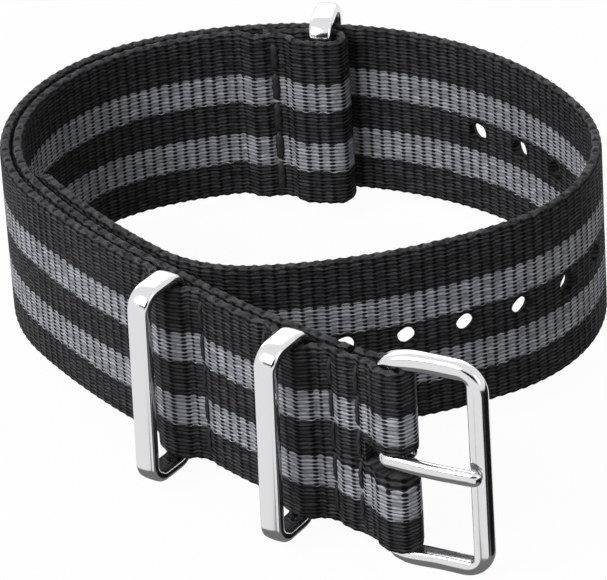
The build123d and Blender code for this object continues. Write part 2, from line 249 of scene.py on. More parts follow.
def longBandRun():
    run = Run(moved(frontLine.at(front["foldRun"]), 0, innerLayer, 180))
    flat = front["foldRun"] - creaseLength(barFoldRise) - bar["foldFlat"]
    run.straight(flat)
    run.stepAside(barFoldRise)
    run.straight(bar["foldFlat"])
    foldLength = run.length()
    run.turn(barFoldRadius, 180)
    run.straight(bar["foldFlat"])
    run.stepAside(-barFoldRise)
    run.straight(flat)
    run.turn(front["hingeRadius"], front["hingeAngle"])
    addTunnel(run, hingeEnd, front["frontKeeper"], spreadStart)
    run.turn(front["spreadRadius"], front["spreadAngle"])
    addTunnel(run, spreadEnd, front["middleKeeper"], frontEnd)
    run.turn(tape["sweepRadius"], tape["sweepAngle"])
    run.turn(tape["leftBendRadius"], leftBendAngle)
    run.turn(tape["backArcRadius"], backArcAngle)
    run.turn(tape["rightBendRadius"], angleBetween(rightHeading, tailHeading))
    run.turn(tape["tailArcRadius"], angleBetween(tailHeading, kneeHeading))
    run.turn(tape["kneeRadius"], angleBetween(kneeHeading, tape["frontHeading"]))
    run.turn(tape["sweepRadius"] + tailLayer, tape["sweepAngle"])
    left = tape["length"] + foldLength - run.length()
    endRadius = tape["leftBendRadius"] + tailLayer
    run.turn(endRadius, math.degrees(left / endRadius))
    return run, foldLength


def alongBack(distance):
    return math.degrees(distance / tape["backArcRadius"])


def shortBandRun():
    run = Run(moved(frontLine.at(hingeEnd), 0, innerLayer))
    run.straight(front["frontTunnelRun"])
    run.turn(front["spreadRadius"] + innerLayer, front["spreadAngle"])
    run.straight(front["middleTunnelRun"])
    run.turn(tape["sweepRadius"] + innerLayer, tape["sweepAngle"])
    run.turn(tape["leftBendRadius"] + innerLayer, leftBendAngle)
    lying = tape["backArcRadius"] + innerLayer
    folded = alongBack(backFold["seam"] + backFold["tunnel"])
    cut = alongBack(backFold["seam"] - backFold["reach"])
    easedIn = cut - alongBack(front["seamMargin"])
    seamFlat = alongBack(backFold["reach"] + 2 * front["seamMargin"])
    run.turn(lying, easedIn - easedAngle(lying, pitch))
    easeIn(run, lying, pitch)
    run.turn(lying - pitch, seamFlat)
    innerDepth = 2 * endFoldRadius - pitch
    easeIn(run, lying - pitch, innerDepth)
    left = folded - easedIn - seamFlat - easedAngle(lying - pitch, innerDepth)
    run.turn(lying - 2 * endFoldRadius, left)
    run.turn(endFoldRadius, -180)
    run.turn(lying, -(folded - cut))
    return run


def backPlace(distance, offset):
    start = arcMoved(bendStart, tape["leftBendRadius"], leftBendAngle)
    return moved(arcMoved(start, tape["backArcRadius"], alongBack(distance)), 0, offset)


# where the loop's own axes lie in the frame
bandLow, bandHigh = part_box("main_band")
loopX = bandLow.x + (tape["leftBendRadius"] + halfTape) * mm
loopY = bandHigh.y - (backCentre[1] + tape["backArcRadius"] + halfTape) * mm
midHeight = (bandLow.z + bandHigh.z) / 2


def atPlace(place, rise=0.0):  # X along the run, Y to its left and Z up, for shapes in millimetres
    spot = Matrix.Translation((place[0] * mm + loopX, place[1] * mm + loopY, midHeight + rise * mm))
    return spot @ Matrix.Rotation(math.radians(place[2]), 4, "Z") @ Matrix.Scale(mm, 4)


def flipped(place):
    return moved(place, 0, 0, 180)


longRun, foldLength = longBandRun()
shortRun = shortBandRun()
barPlace = flipped(moved(frontLine.at(0), 0, innerLayer / 2))
bucklePlace = moved(barPlace, 0, 0, bar["tilt"])
print("loop walked", round(longRun.length(), 1), round(shortRun.length(), 1))


# shader maths
class Value:  # a socket that takes part in Python expressions
    def __init__(self, tree, socket):
        self.tree = tree
        self.socket = socket

    def maths(self, operation, *others, clamp=False):
        node = self.tree.nodes.new("ShaderNodeMath")
        node.operation = operation
        node.use_clamp = clamp
        for slot, item in zip(node.inputs, others):
            if isinstance(item, Value):
                self.tree.links.new(item.socket, slot)
            else:
                slot.default_value = item
        return Value(self.tree, node.outputs[0])

    def __add__(self, other):
        return self.maths("ADD", self, other)

    def __radd__(self, other):
        return self.maths("ADD", other, self)

    def __sub__(self, other):
        return self.maths("SUBTRACT", self, other)

    def __rsub__(self, other):
        return self.maths("SUBTRACT", other, self)

    def __mul__(self, other):
        return self.maths("MULTIPLY", self, other)

    def __rmul__(self, other):
        return self.maths("MULTIPLY", other, self)

    def __truediv__(self, other):
        return self.maths("DIVIDE", self, other)

    def fraction(self):
        return self.maths("FRACT", self)

    def floor(self):
        return self.maths("FLOOR", self)

    def power(self, exponent):
        return self.maths("POWER", self, exponent)

    def clamped(self):
        return self.maths("ADD", self, 0.0, clamp=True)

    def above(self, level):
        return self.maths("GREATER_THAN", self, level)


class Finish:  # a material and its nodes
    def __init__(self, name):
        self.material = bpy.data.materials.new(name)
        self.material.use_nodes = True
        self.tree = self.material.node_tree
        self.shader = self.tree.nodes["Principled BSDF"]

    def node(self, kind, settings=None, sockets=None, output=0):
        node = self.tree.nodes.new(kind)
        for key, setting in (settings or {}).items():
            setattr(node, key, setting)
        for key, item in (sockets or {}).items():
            self.feed(node.inputs[key], item)
        return Value(self.tree, node.outputs[output])

    def feed(self, socket, item):
        if isinstance(item, Value):
            self.tree.links.new(item.socket, socket)
        elif isinstance(item, tuple) and len(item) == 3 and socket.type == "RGBA":
            socket.default_value = (*item, 1.0)
        else:
            socket.default_value = item

    def set(self, **sockets):
        for key, item in sockets.items():
            self.feed(self.shader.inputs[key.replace("_", " ")], item)

    def blend(self, factor, first, second):  # between two colours
        sockets = {0: factor, 6: first, 7: second}
        return self.node("ShaderNodeMix", {"data_type": "RGBA"}, sockets, output=2)

    def smooth(self, value, low, high):
        return self.node(
            "ShaderNodeMapRange",
            {"interpolation_type": "SMOOTHSTEP"},
            {"Value": value, "From Min": low, "From Max": high},
        )

    def bump(self, height, distance, strength):
        sockets = {"Height": height, "Distance": distance, "Strength": strength}
        return self.node("ShaderNodeBump", {}, sockets)


weave = {
    "ribPitch": 1.26,
    "rowPitch": 0.44,
    "ribsPerSample": 5,
    "ribDepth": 0.11,
    "across": 34,
    "edgeSteps": 4,
    "selvedge": 0.55,
    "ropeDepth": 0.11,
    "slant": 0.22,
    # yarn colours, and crest colours that are lighter as a painted highlight on each yarn's crown
    "darkYarn": (0.006, 0.006, 0.0065),
    "darkCrestHighlight": (0.056, 0.056, 0.060),
    "greyYarn": (0.115, 0.12, 0.133),
    "greyCrestHighlight": (0.39, 0.40, 0.44),
    "pitWidth": 0.24,
    "pitHeight": 0.40,
    "pitShade": 0.06,
    "upperGrey": (1.6, 5.0),
    "lowerGrey": (-5.9, -2.4),
    "waver": 0.16,
    "stripeLuck": 0.12,
    "crestFade": 0.45,
    "pitEdge": 0.55,
    "yarnLuck": (0.4, 0.9),
    "strandLuck": (0.3, 1.1),
    "strandSpan": (0.32, 0.68),
    "strandPitch": (1.6, 4.0),
    "drift": (0.86, 0.28),
    "driftScale": 0.5,
    "relief": {"crown": 0.45, "strands": 0.12, "luck": 0.1, "pit": 0.9},
    "bumpDepth": 0.13,
    "bumpStrength": 0.85,
    "roughness": 0.66,
    "crestShine": 0.14,
    "proud": 0.03,
    "ribPower": 1.6,
    "ribLuck": 0.05,
    "luckWaves": (0.37, 0.83, 2.0),
    "ribDrift": 0.07,
    "driftWaves": (0.55, 0.21),
    "ropeTwist": 1.5,
    "ropeInset": 0.6,
    "edgeSway": 0.06,
    "swayWaves": (0.13, 1.5),
}


def webbingFinish(name, marks):  # marks say where the punched holes are
    finish = Finish(name)
    uv = finish.node("ShaderNodeUVMap", {"uv_map": "tapeUv"})
    split = finish.tree.nodes.new("ShaderNodeSeparateXYZ")
    finish.tree.links.new(uv.socket, split.inputs[0])
    along = Value(finish.tree, split.outputs[0])
    across = Value(finish.tree, split.outputs[1])
    column = along / weave["ribPitch"]
    columnNumber = column.floor()
    odd = (columnNumber * 0.5).fraction() * 2.0  # 0 or 1 for every other column
    inColumn = column.fraction() - 0.5
    rowsUp = across / weave["rowPitch"]
    row = rowsUp + inColumn * (1.0 - odd * 2.0) * weave["slant"]  # yarns slant in a herringbone
    inRow = row.fraction() - 0.5
    rowNumber = row.floor()
    crown = (1.0 - (inRow * 2.0).power(2.0)).clamped()
    crest = crown.power(2.0) * (1.0 - (inColumn * 2.0).power(2.0) * weave["crestFade"])
    # pits where the slanting yarns of two columns meet, sunk in the bump and darkened by painted shade
    seamNumber = (column + 0.5).floor()
    seamOdd = (seamNumber * 0.5).fraction() * 2.0
    inSeam = (column + 0.5).fraction() - 0.5
    pitRow = (rowsUp + (seamOdd - 0.5) * weave["slant"] + 0.5).fraction() - 0.5
    pit = 1.0 - (inSeam / weave["pitWidth"]).power(2.0) - (pitRow / weave["pitHeight"]).power(2.0)
    pit = finish.smooth(pit, 0.0, weave["pitEdge"])
    cell = finish.node("ShaderNodeCombineXYZ", {}, {0: columnNumber, 1: rowNumber, 2: 3.0})
    yarnLuck = finish.node("ShaderNodeTexWhiteNoise", {"noise_dimensions": "3D"}, {"Vector": cell})
    plyAlong, plyUp = weave["strandPitch"]
    ply = finish.node("ShaderNodeCombineXYZ", {}, {0: along * plyAlong, 1: row * plyUp, 2: 0.0})
    inPlane = {"noise_dimensions": "2D"}
    sockets = {"Vector": ply, "Scale": 1.0, "Detail": 2.0, "Roughness": 0.6}
    strands = finish.node("ShaderNodeTexNoise", inPlane, sockets)
    sockets = {"Vector": uv, "Scale": weave["driftScale"], "Detail": 2.0}
    drift = finish.node("ShaderNodeTexNoise", inPlane, sockets)
    # stripes, whose edges waver from rib to rib
    wavering = across + (inColumn * inColumn * 4.0 - 0.5) * weave["waver"]
    wavering = wavering + (yarnLuck - 0.5) * weave["stripeLuck"]
    grey = 0.0
    for low, high in (weave["upperGrey"], weave["lowerGrey"]):
        grey = grey + wavering.above(low) * (1.0 - wavering.above(high))
    # painted highlight: the yarns' crests are painted lighter, more on some yarns and strands than others
    least, more = weave["yarnLuck"]
    luck = crest * (least + more * yarnLuck)
    least, more = weave["strandLuck"]
    luck = luck * (least + more * finish.smooth(strands, *weave["strandSpan"]))
    dark = finish.blend(luck, weave["darkYarn"], weave["darkCrestHighlight"])
    pale = finish.blend(luck, weave["greyYarn"], weave["greyCrestHighlight"])
    colour = finish.blend(grey, dark, pale)
    least, more = weave["drift"]
    # painted shade darkens the pits, and a slow random drift varies the yarns' tone
    paintedShadeAndTone = (1.0 - pit * (1.0 - weave["pitShade"])) * (least + more * drift)
    # a melted, darker rim round each punched hole
    if marks:
        holePitch = holes["pitch"]
        awayAlong = (((along - marks["first"]) / holePitch + 0.5).fraction() - 0.5) * holePitch
        away = (awayAlong * awayAlong + across * across).power(0.5)
        inReach = (along - marks["first"] + holePitch / 2).above(0.0)
        inReach = inReach * (marks["last"] + holePitch / 2 - along).above(0.0)
        near, far = (holes["rim"] / 2 + reach for reach in holes["melted"])
        melted = (1.0 - finish.smooth(away, near, far)) * inReach
        paintedShadeAndTone = paintedShadeAndTone * (1.0 - melted * holes["meltedShade"])
        crown = crown * (1.0 - melted * holes["meltedFlat"])
    shaded = finish.node("ShaderNodeVectorMath", {"operation": "SCALE"}, {0: colour, "Scale": paintedShadeAndTone})
    relief = weave["relief"]
    height = crown * relief["crown"] + strands * relief["strands"] + yarnLuck * relief["luck"]
    height = height - pit * relief["pit"]
    normal = finish.bump(height, weave["bumpDepth"] * mm, weave["bumpStrength"])
    finish.set(Base_Color=shaded, Roughness=weave["roughness"] - crest * weave["crestShine"])
    finish.set(Normal=normal, Specular_IOR_Level=0.08)
    return finish.material


thread = {
    "dark": (0.0012, 0.0012, 0.0014), "pale": (0.007, 0.007, 0.008), "streaks": 2600.0,
    "roughness": (0.55, 0.2), "bumpDepth": 0.05, "bumpStrength": 0.6,
}


def threadFinish():
    finish = Finish("seam thread")
    place = finish.node("ShaderNodeTexCoord", {}, output=3)
    sockets = {"Vector": place, "Scale": thread["streaks"], "Detail": 3.0, "Roughness": 0.6}
    streaks = finish.node("ShaderNodeTexNoise", {}, sockets)
    least, more = thread["roughness"]
    finish.set(Base_Color=finish.blend(streaks, thread["dark"], thread["pale"]))
    finish.set(Roughness=least + streaks * more, Specular_IOR_Level=0.45)
    finish.set(Normal=finish.bump(streaks, thread["bumpDepth"] * mm, thread["bumpStrength"]))
    return finish.material


steel = {"haze": 220.0, "drawn": (4200.0, 4200.0, 300.0), "bumpStrength": 0.35}
polished = {"tint": (0.73, 0.73, 0.74), "roughness": 0.09, "scratches": 0.004}
drawn = {"tint": (0.62, 0.62, 0.63), "roughness": 0.18, "scratches": 0.01}


def steelFinish(name, grade):
    finish = Finish(name)
    place = finish.node("ShaderNodeTexCoord", {}, output=3)
    sockets = {"Vector": place, "Scale": steel["haze"], "Detail": 3.0}
    haze = finish.node("ShaderNodeTexNoise", {}, sockets)
    grain = finish.node("ShaderNodeMapping", {}, {"Vector": place, "Scale": steel["drawn"]})
    marks = finish.node("ShaderNodeTexNoise", {}, {"Vector": grain, "Scale": 1.0, "Detail": 2.0})
    finish.set(Base_Color=grade["tint"], Metallic=1.0)
    finish.set(Roughness=grade["roughness"] + haze * grade["roughness"])
    finish.set(Normal=finish.bump(marks, grade["scratches"] * mm, steel["bumpStrength"]))
    return finish.material


# meshes
def newPiece(name, bm, material, node, body, sharp=40.0):
    mesh = bpy.data.meshes.new(name)
    bm.to_mesh(mesh)
    bm.free()
    for polygon in mesh.polygons:
        polygon.use_smooth = True
    mesh.set_sharp_from_angle(angle=math.radians(sharp))
    mesh.materials.append(material)
    piece = bpy.data.objects.new(name, mesh)
    bpy.context.collection.objects.link(piece)
    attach(piece, body)
    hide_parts(node)
    return piece


def vertsOf(made):
    return [item for item in made if isinstance(item, bmesh.types.BMVert)]


def profile(bm, points):  # the outline that an extrusion or a spin starts from
    return bm.faces.new([bm.verts.new(point) for point in points])


def outlinePoints(wide, tall, edge, across, segments, dome=0.0):  # a rounded rectangle, point by point
    points = []
    flat = wide / 2 - edge
    for side in (1, -1):
        for i in range(across):
            share = 1 - 2 * i / across
            points.append((side * flat * share, side * (tall / 2 + dome * (1 - share**2))))
        for i in range(2 * segments):
            angle = math.pi / 2 * (1 + i / segments)
            corner = tall / 2 - edge if i <= segments else edge - tall / 2
            high = corner + edge * math.sin(angle)
            points.append((side * (edge * math.cos(angle) - flat), side * high))
    return points


def skin(bm, outlines):  # for outlines that change from one to the next
    rows = [[bm.verts.new(point) for point in outline] for outline in outlines]
    for near, far in zip(rows, rows[1:]):
        for j in range(len(near)):
            bm.faces.new((near[j - 1], near[j], far[j], far[j - 1]))
    bm.faces.new(rows[0])
    bm.faces.new(rows[-1])
    bmesh.ops.recalc_face_normals(bm, faces=bm.faces)


def flatTape(length):  # a straight tape along X, its thickness along Y
    bm = bmesh.new()
    edge = weave["selvedge"]
    outline = outlinePoints(tape["width"], tape["thickness"], edge, weave["across"], weave["edgeSteps"])
    face = profile(bm, [(0.0, y, z) for z, y in outline])
    far = vertsOf(bmesh.ops.extrude_face_region(bm, geom=[face])["geom"])
    bmesh.ops.translate(bm, vec=(length, 0, 0), verts=far)
    samples = round(length / weave["ribPitch"] * weave["ribsPerSample"])
    along = [side for side in bm.edges if side.calc_length() > length / 2]
    bmesh.ops.subdivide_edges(bm, edges=along, cuts=samples - 1)
    return bm


cutter = {"depth": 3 * tape["thickness"], "tipReach": 1.6}


def addTipCutter(bm, tip):
    radius = tape["width"] / 2
    made = bmesh.ops.create_circle(bm, segments=96, radius=radius)
    bmesh.ops.rotate(bm, verts=made["verts"], matrix=Matrix.Rotation(math.radians(90), 3, "X"))
    behind = [v for v in made["verts"] if v.co.x < -0.001]
    bmesh.ops.delete(bm, geom=behind, context="VERTS")
    arc = [v for v in made["verts"] if v.is_valid]
    edges = list({edge for v in arc for edge in v.link_edges})
    grown = bmesh.ops.extrude_edge_only(bm, edges=edges)["geom"]
    outer = vertsOf(grown)
    bmesh.ops.scale(bm, vec=(cutter["tipReach"], 1, cutter["tipReach"]), verts=outer)
    faces = [item for item in grown if isinstance(item, bmesh.types.BMFace)]
    top = vertsOf(bmesh.ops.extrude_face_region(bm, geom=faces)["geom"])
    bmesh.ops.translate(bm, vec=(0, cutter["depth"], 0), verts=top)
    bmesh.ops.translate(bm, vec=(tip - radius, -cutter["depth"] / 2, 0), verts=arc + outer + top)


def addHoleCutter(bm, place):  # narrowest in mid tape, where the punch went through
    half = cutter["depth"] / 2
    radius = holes["diameter"] / 2
    wide = radius + (holes["rim"] - holes["diameter"]) * half / tape["thickness"]
    verts = bmesh.ops.create_circle(bm, cap_ends=True, segments=28, radius=wide)["verts"]
    bmesh.ops.translate(bm, vec=(0, 0, -half), verts=verts)
    face = verts[0].link_faces[0]
    for share in (radius / wide, wide / radius):
        raised = bmesh.ops.extrude_face_region(bm, geom=[face, *face.edges])["geom"]
        top = vertsOf(raised)
        face = next(item for item in raised if isinstance(item, bmesh.types.BMFace))
        bmesh.ops.translate(bm, vec=(0, 0, half), verts=top)
        bmesh.ops.scale(bm, vec=(share, share, 1), verts=top)
        verts += top
    bmesh.ops.rotate(bm, verts=verts, matrix=Matrix.Rotation(math.radians(90), 3, "X"))
    bmesh.ops.translate(bm, vec=(place, 0, 0), verts=verts)


def addSlotCutter(bm, low, high):
    made = bmesh.ops.create_cube(bm, size=1.0)
    size = (high - low, cutter["depth"], tongue["slotWidth"])
    bmesh.ops.scale(bm, vec=size, verts=made["verts"])
    bmesh.ops.translate(bm, vec=((low + high) / 2, 0, -buckleDrop), verts=made["verts"])


def carved(bm, cutters):  # the mesh of bm with the cutters taken out of it
    things = []
    for name, shape in (("flat", bm), ("cutters", cutters)):
        bmesh.ops.recalc_face_normals(shape, faces=shape.faces)
        mesh = bpy.data.meshes.new(name)
        shape.to_mesh(mesh)
        shape.free()
        things.append(bpy.data.objects.new(name, mesh))
        bpy.context.collection.objects.link(things[-1])
    cut = things[0].modifiers.new("cut", "BOOLEAN")
    cut.operation = "DIFFERENCE"
    cut.solver = "EXACT"
    cut.object = things[1]
    graph = bpy.context.evaluated_depsgraph_get()
    mesh = bpy.data.meshes.new_from_object(things[0].evaluated_get(graph))
    result = bmesh.new()
    result.from_mesh(mesh)
    for thing in things:
        bpy.data.objects.remove(thing)
    return result


spread = {"reach": 10.5, "most": 1.45, "edgeShare": 0.62, "from": 1.2, "over": 1.6}


def spreadDown(x, z, slotAt):  # how far the tape below the slot is pushed down by the tongue
    if slotAt is None or z > -spread["from"]:
        return 0.0
    near = math.exp(-(((x - slotAt) / spread["reach"]) ** 2))
    share = min(1.0, (-z - spread["from"]) / spread["over"])
    outwards = max(0.0, -z - spread["from"] - spread["over"]) / tape["width"] * 2
    return near * spread["most"] * share * (1 - (1 - spread["edgeShare"]) * outwards)


def bendTape(bm, run, grooves, slotAt=None):
    uvs = bm.loops.layers.uv.new("tapeUv")
    for face in bm.faces:
        for loop in face.loops:
            loop[uvs].uv = (loop.vert.co.x, loop.vert.co.z)
    places = {}
    half = tape["width"] / 2
    slow, quick, lead = weave["luckWaves"]
    driftUp, driftAlong = weave["driftWaves"]
    swayAlong, swayApart = weave["swayWaves"]
    for v in bm.verts:
        x, y, z = v.co
        key = round(x, 4)
        if key not in places:
            places[key] = run.at(min(max(x, 0.0), run.length() - 1e-4))
        luck = weave["ribLuck"] * (math.sin(x * slow) + math.sin(x * quick + lead))
        drift = weave["ribDrift"] * math.sin(z * driftUp + x * driftAlong)
        phase = x / weave["ribPitch"] + luck + drift
        ridge = 1 - abs(math.cos(math.pi * phase)) ** weave["ribPower"]
        side = y / halfTape
        pressed = sum(
            groove["depth"] * math.exp(-(((x - groove["at"]) / groove["reach"]) ** 2))
            for groove in grooves
            if groove["side"] * side > 0
        )
        y -= side * (weave["ribDepth"] * ridge - weave["proud"] + pressed)
        beyond = max(0.0, abs(z) - (half - weave["selvedge"])) / weave["selvedge"]
        turnAngle = math.atan2(v.co.y, weave["selvedge"]) if beyond else 0.0
        rope = math.cos(2 * math.pi * phase + weave["ropeTwist"] * turnAngle)
        z += math.copysign(beyond * weave["ropeDepth"] * (rope - weave["ropeInset"]), z)
        sway = math.sin(x * swayAlong + (swayApart if z > 0 else 0.0))
        z += weave["edgeSway"] * sway * abs(z) / half
        z -= spreadDown(x, z, slotAt)
        place = moved(places[key], 0, y)
        v.co = (place[0] * mm + loopX, place[1] * mm + loopY, z * mm + midHeight)
    bmesh.ops.recalc_face_normals(bm, faces=bm.faces)


stitch = {
    "width": 0.5, "height": 0.42, "length": 3.4, "gap": 0.3, "count": 5, "sink": 0.2,
    "endBroad": 1.7, "steps": 16, "sides": 10, "endShare": 0.12, "plyDepth": 0.14,
    "plyTwist": 9.0, "dip": 0.3, "grooveDepth": 0.34, "grooveReach": 0.5,
    "endGrooveReach": 0.75,
}


def groove(at, side, depth=stitch["grooveDepth"], reach=stitch["grooveReach"]):
    return {"at": at, "side": side, "depth": depth, "reach": reach}


holes = {
    "diameter": 1.8, "rim": 2.3, "pitch": 6.4, "count": 14, "fromTip": 29.2,
    "melted": (0.05, 0.5), "meltedShade": 0.45, "meltedFlat": 0.8,
}
# how far along the runs the slot and the seams are looked for
search = {
    "slotReach": 12.0, "slotTries": 480, "slotMargin": 1.0, "longFront": 50.0,
    "shortFront": 40.0, "shortBack": 60.0, "shortEnd": 10.0,
}


def seamDistances():  # along the front line, from the buckle bar
    half = front["tunnelHalf"]
    return {
        "buckle_fold_seam": front["foldRun"] - backFold["reach"] + front["seamMargin"] / 2,
        "front_keeper_right_seam": front["frontKeeper"] - half,
        "front_keeper_left_seam": front["frontKeeper"] + half,
        "middle_keeper_right_seam": front["middleKeeper"] - half,
        "middle_keeper_left_seam": front["middleKeeper"] + half,
    }


def mainBand():
    length = longRun.length()
    bm = flatTape(length)
    cutters = bmesh.new()
    addTipCutter(cutters, length)
    for number in range(holes["count"]):
        addHoleCutter(cutters, length - holes["fromTip"] - number * holes["pitch"])
    foldMiddle = foldLength + math.pi * barFoldRadius / 2
    slotReach = barFoldRadius + halfTape + search["slotMargin"]
    reach = search["slotReach"]
    tries = search["slotTries"]
    stops = [foldMiddle - reach + 2 * reach * i / tries for i in range(tries + 1)]
    near = [
        stop for stop in stops if math.dist(longRun.at(max(0.0, stop))[:2], barPlace[:2]) < slotReach
    ]
    addSlotCutter(cutters, min(near), max(near))
    bm = carved(bm, cutters)
    grooves = []
    for distance in seamDistances().values():
        target = frontLine.at(distance)
        at = longRun.nearest(target, foldMiddle, foldMiddle + search["longFront"])
        grooves.append(groove(at, 1))
    inner = moved(frontLine.at(seamDistances()["buckle_fold_seam"]), 0, innerLayer)
    grooves.append(groove(longRun.nearest(inner, 0, foldMiddle), 1))
    bendTape(bm, longRun, grooves, foldMiddle)
    holeMarks = {
        "first": length - holes["fromTip"] - (holes["count"] - 1) * holes["pitch"],
        "last": length - holes["fromTip"],
    }
    finish = webbingFinish("long band webbing", holeMarks)
    piece = newPiece("long_band_webbing", bm, finish, "main_band", "strap")


def shortBand():
    bm = flatTape(shortRun.length())
    grooves = []
    for name, distance in seamDistances().items():
        if name != "buckle_fold_seam":
            target = moved(frontLine.at(distance), 0, innerLayer)
            grooves.append(groove(shortRun.nearest(target, 0, search["shortFront"]), -1))
    target = backPlace(backFold["seam"], innerLayer - pitch)
    at = shortRun.nearest(target, search["shortBack"], shortRun.length() - search["shortEnd"])
    grooves.append(groove(at, -1, reach=stitch["endGrooveReach"]))
    foldMiddle = shortRun.length() - shortRun.steps[-1][0] - shortRun.steps[-2][0] / 2
    grooves.append(groove(foldMiddle, 1, backFold["press"], backFold["pressReach"]))  # by the ring
    bendTape(bm, shortRun, grooves)
    finish = webbingFinish("short band webbing", None)
    piece = newPiece("short_band_webbing", bm, finish, "short_band", "strap")
    shortRun.length() * mm


def oneStitch():
    bm = bmesh.new()
    outlines = []
    for i in range(stitch["steps"] + 1):
        along = 2 * i / stitch["steps"] - 1
        full = max(stitch["endShare"], 1 - abs(along) ** 5) ** 0.5
        outline = []
        for j in range(stitch["sides"]):
            angle = 2 * math.pi * j / stitch["sides"]
            ply = full * (1 + stitch["plyDepth"] * math.cos(2 * angle - stitch["plyTwist"] * along))
            wide = math.cos(angle) * ply * stitch["width"] / 2
            proud = math.sin(angle) * ply * stitch["height"] / 2 - stitch["dip"] * along**4
            outline.append((wide, proud, along * stitch["length"] / 2))
        outlines.append(outline)
    skin(bm, outlines)
    mesh = bpy.data.meshes.new("stitch")
    bm.to_mesh(mesh)
    bm.free()
    return mesh


stitchMesh = oneStitch()


def addStitchRow(bm, place, broad=1.0):  # a row that stands out to the place's left
    spacing = stitch["length"] + stitch["gap"]
    for number in range(stitch["count"]):
        before = set(bm.verts)
        bm.from_mesh(stitchMesh)
        new = [v for v in bm.verts if v not in before]
        up = (number - (stitch["count"] - 1) / 2) * spacing
        lifted = Matrix.Translation((0, -stitch["sink"], up)) @ Matrix.Diagonal((broad, 1, 1, 1))
        bmesh.ops.transform(bm, matrix=atPlace(place) @ lifted, verts=new)


def seams():
    finish = threadFinish()
    for name, distance in seamDistances().items():
        bm = bmesh.new()
        place = frontLine.at(distance)
        addStitchRow(bm, moved(place, 0, halfTape))
        addStitchRow(bm, flipped(moved(place, 0, innerLayer - halfTape)))
        newPiece(name + "_thread", bm, finish, name, "strap", 60)
    bm = bmesh.new()
    place = flipped(backPlace(backFold["seam"], innerLayer - pitch - halfTape))
    addStitchRow(bm, place, stitch["endBroad"])
    newPiece("end_ring_seam_thread", bm, finish, "end_ring_seam", "strap", 60)


def bandRing(name, matrix, lean, node, body, finish):
    shape = [ring[key] for key in ("width", "wall", "edge", "across", "edgeSteps", "dome")]
    outline = [(a, max(b, -ring["wall"] / 2)) for a, b in outlinePoints(*shape)]  # flat inside
    height = tape["width"] + 2 * (ring["sideClearance"] + ring["wall"])
    high = height / 2 - ring["cornerRadius"]
    deep = ring["depth"] / 2 - ring["cornerRadius"]
    middle = (ring["depth"] - ring["wall"]) / 2
    corners = ((deep, high), (-deep, high), (-deep, -high), (deep, -high))
    hubs = [Vector((0, middle + y, z)) for y, z in corners]
    bm = bmesh.new()
    reach = ring["cornerRadius"] - ring["wall"] / 2
    face = profile(bm, [hubs[0] + Vector((a, reach + b, 0)) for a, b in outline])
    edges = list(face.edges)
    bm.faces.remove(face)
    for hub, nextHub in zip(hubs, hubs[1:] + hubs[:1]):  # each turn ends in a straight run
        made = bmesh.ops.spin(
            bm, geom=edges, cent=hub, axis=(1, 0, 0), angle=math.radians(90), steps=16
        )
        rim = [item for item in made["geom_last"] if isinstance(item, bmesh.types.BMEdge)]
        grown = bmesh.ops.extrude_edge_only(bm, edges=rim)["geom"]
        far = set(vertsOf(grown))
        bmesh.ops.translate(bm, vec=nextHub - hub, verts=list(far))
        edges = [edge for edge in bm.edges if far.issuperset(edge.verts)]
    bmesh.ops.remove_doubles(bm, verts=bm.verts, dist=0.0001)
    bmesh.ops.recalc_face_normals(bm, faces=bm.faces)
    lean = Matrix.Rotation(math.radians(lean), 4, "Y")
    bmesh.ops.transform(bm, matrix=matrix @ lean, verts=bm.verts)
    newPiece(name, bm, finish, node, body, 50)


def rings(finish):
    lean = ring["lean"]
    place = moved(frontLine.at(front["frontKeeper"]), 0, ringBarOffset, ring["frontTilt"])
    bandRing("front_keeper_steel", atPlace(place), lean, "front_keeper", "front_keeper_ring", finish)
    place = moved(frontLine.at(front["middleKeeper"]), 0, ringBarOffset, ring["middleTilt"])
    bandRing("middle_keeper_steel", atPlace(place), lean, "middle_keeper", "middle_keeper_ring", finish)
    distance = backFold["seam"] + backFold["tunnel"] - backFold["barSetback"]
    place = moved(backPlace(distance, innerLayer - endFoldRadius), 0, 0, ring["endTilt"])
    matrix = atPlace(place, ring["endLift"])
    bandRing("end_ring_steel", matrix, 0.0, "end_ring", "end_keeper_ring", finish)


def frameSection(inner, outer, thin):  # across the frame's bar, from its inner to its outer edge
    wide = (outer - inner).length
    out = (outer - inner) / wide
    past = max(0.0, inner.x - buckle["flareFrom"]) / buckle["flareReach"]
    flare = buckle["flare"] * max(0.0, 1 - past) ** 2
    half = buckle["thickness"] / 2 * thin
    ofWide, ofHalf = buckle["outerShares"]
    outerEdge = min(buckle["outerEdge"], wide * ofWide, half * ofHalf)
    ofWide, ofHalf = buckle["innerShares"]
    innerEdge = min(buckle["innerEdge"], wide * ofWide, half * ofHalf)
    corners = (
        (wide - outerEdge, half - outerEdge, outerEdge, 0),
        (innerEdge, half - innerEdge, innerEdge, 90),
        (innerEdge, innerEdge - half, innerEdge, 180),
        (wide - outerEdge, outerEdge - half, outerEdge, 270),
    )
    points = []
    for number, (a, b, radius, start) in enumerate(corners):
        for i in range(buckle["edgeSteps"] + 1):
            angle = math.radians(start + 90 * i / buckle["edgeSteps"])
            points.append((a + radius * math.cos(angle), b + radius * math.sin(angle)))
        if number in (0, 2):  # the two broad faces are slightly domed
            side = 1 if number == 0 else -1
            left, right = (outerEdge, innerEdge) if number == 0 else (innerEdge, outerEdge)
            first = wide - left if number == 0 else left
            last = right if number == 0 else wide - right
            for i in range(1, buckle["domeSteps"]):
                share = i / buckle["domeSteps"]
                bulge = buckle["dome"] * thin * math.sin(math.pi * share)
                points.append((first + (last - first) * share, side * (half + bulge)))
    points = [(a, b - flare if b < 0 else b) for a, b in points]
    return [inner + out * a + Vector((0, b, 0)) for a, b in points]


